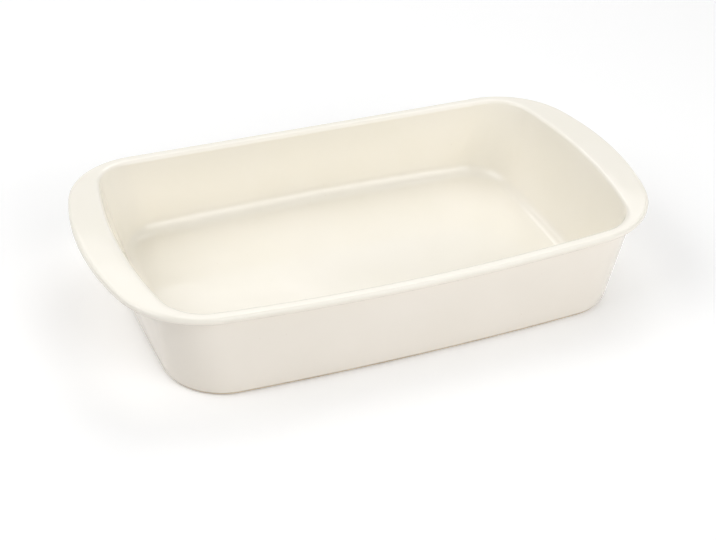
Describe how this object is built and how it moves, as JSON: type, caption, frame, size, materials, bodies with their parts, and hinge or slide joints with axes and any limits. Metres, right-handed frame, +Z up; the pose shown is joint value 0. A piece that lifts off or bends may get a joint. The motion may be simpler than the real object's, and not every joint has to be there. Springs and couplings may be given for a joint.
{
  "type": "lasagna dish",
  "caption": "Oblong glazed stoneware lasagna dish with bowed sides, a swept rim that widens into a crescent handle at each end, and a bare foot ring.",
  "frame": {"origin": "on the table under the middle of the dish, at the bottom centre of its box", "axes": "+X along the length towards one handle, +Y across the width, +Z up out of the mouth"},
  "size_m": [0.4, 0.215, 0.0699],
  "materials": {
    "bare_stoneware": "bare fired stoneware, matt and slightly sandy",
    "liner_glaze": "glossy cream glaze",
    "outer_glaze": "glossy cream glaze",
    "base_glaze": "glossy cream glaze, thinner than on the walls"
  },
  "bodies": {
    "root": {"stoneware_body": "bare_stoneware", "liner_glaze": "liner_glaze", "outer_glaze": "outer_glaze", "base_glaze": "base_glaze"}
  },
  "joints": []
}
